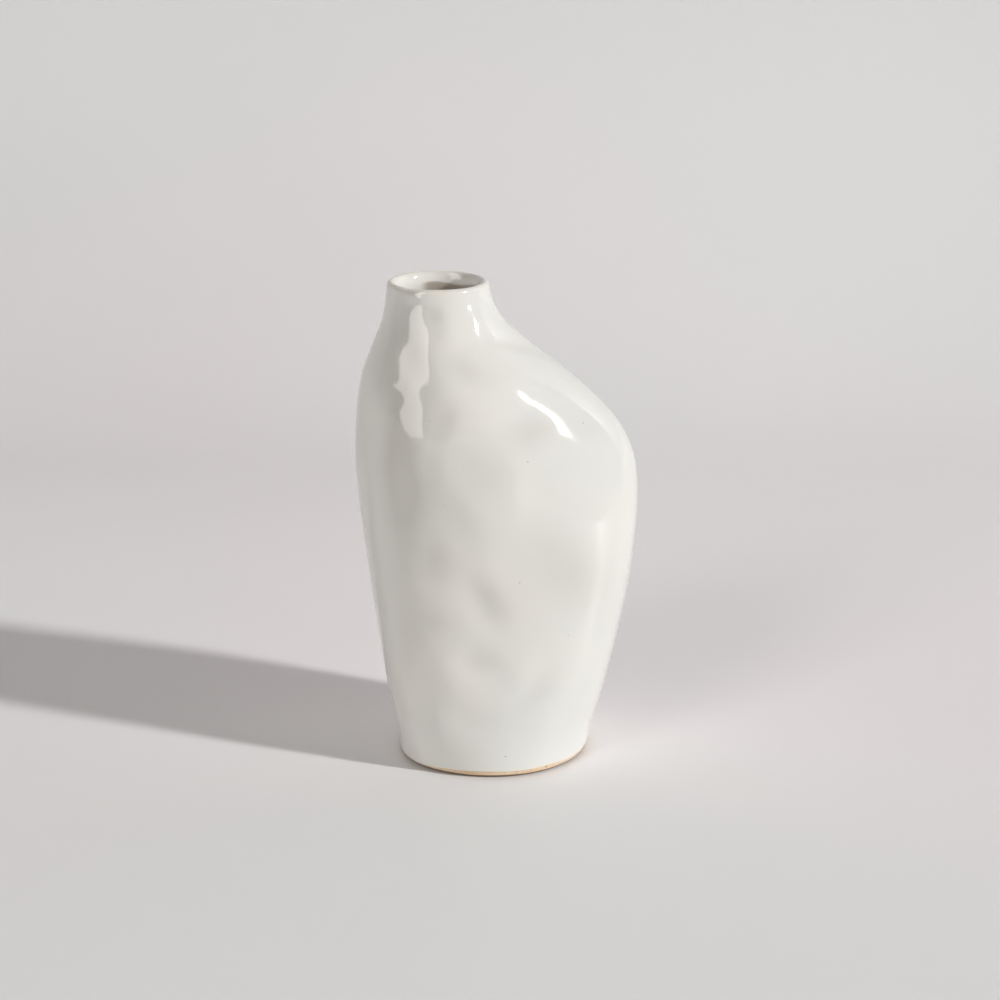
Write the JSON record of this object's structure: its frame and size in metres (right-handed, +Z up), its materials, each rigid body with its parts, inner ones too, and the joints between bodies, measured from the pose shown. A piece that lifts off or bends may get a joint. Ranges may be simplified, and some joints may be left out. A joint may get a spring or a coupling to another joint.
{
  "type": "pillow vase",
  "caption": "Small glazed stoneware bud vase with a cushion-shaped body, a round foot and a narrow neck set far to one side of a high rounded shoulder.",
  "frame": {"origin": "middle of the foot ring on the table", "axes": "+Z up, +X to the shoulder's side, away from the neck, -Y to the front"},
  "size_m": [0.116, 0.0822, 0.2],
  "materials": {
    "stoneware": "bare fired stoneware, matt and finely sandy",
    "white_glaze": "glossy warm white glaze over soft hand-pressed hollows",
    "liner_glaze": "thin glossy white liner glaze"
  },
  "bodies": {
    "root": {"clay_body": "stoneware", "outer_glaze": "white_glaze", "inner_glaze": "liner_glaze", "base_glaze": "white_glaze"}
  },
  "joints": []
}
